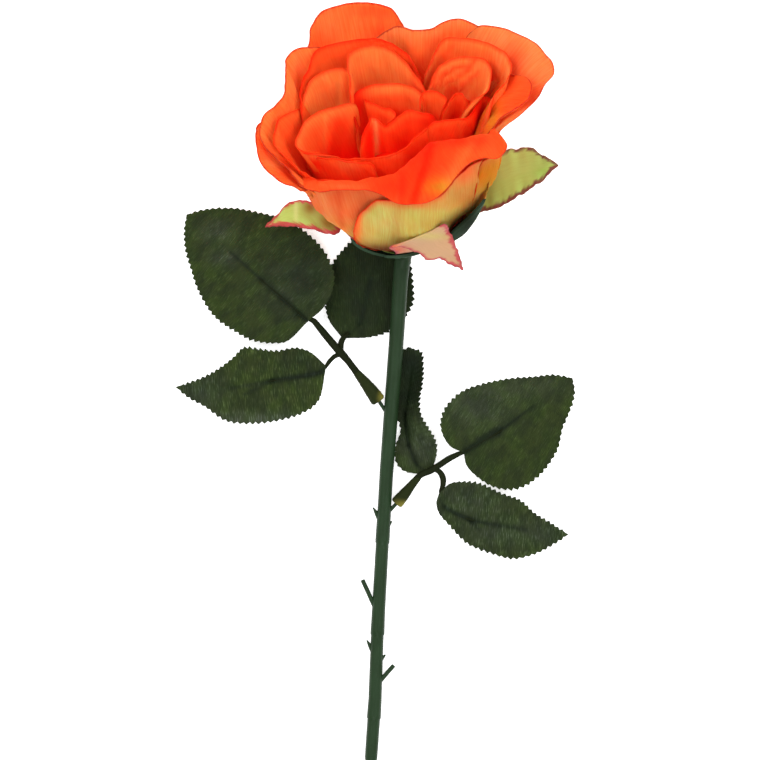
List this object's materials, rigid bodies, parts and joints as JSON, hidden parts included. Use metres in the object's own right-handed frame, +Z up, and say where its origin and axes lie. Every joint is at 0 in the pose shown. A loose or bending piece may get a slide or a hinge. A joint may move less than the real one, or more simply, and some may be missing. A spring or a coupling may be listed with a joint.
{
  "type": "artificial rose",
  "caption": "Artificial rose with a full orange fabric bloom, lime sepals, serrated dark leaves on side stalks and a green moulded stem with small thorns, lying on its back.",
  "frame": {"origin": "centre of the bounding box in plan, on the surface that the rose lies on", "axes": "+Y runs along the stem from its cut end to the bloom, +Z is up from the surface, +X is to the right seen from above"},
  "size_m": [0.1506, 0.2846, 0.0705],
  "materials": {
    "petal_fabric": "orange woven fabric with fine red rims",
    "sepal_fabric": "lime fabric with a crimson edge",
    "cup_plastic": "dark green moulded plastic",
    "stem_plastic": "green moulded plastic with a soft sheen",
    "stalk_plastic": "olive green moulded plastic",
    "leaf_fabric": "dark green ribbed fabric"
  },
  "bodies": {
    "root": {"bloom": "petal_fabric", "sepals": "sepal_fabric", "calyx_cup": "cup_plastic", "stem": "stem_plastic", "leaf_stalk_left": "stalk_plastic", "leaf_stalk_right": "stalk_plastic", "leaf_left_end": "leaf_fabric", "leaf_left_side": "leaf_fabric", "leaf_left_back": "leaf_fabric", "leaf_right_end": "leaf_fabric", "leaf_right_side": "leaf_fabric", "leaf_right_back": "leaf_fabric"}
  },
  "joints": []
}
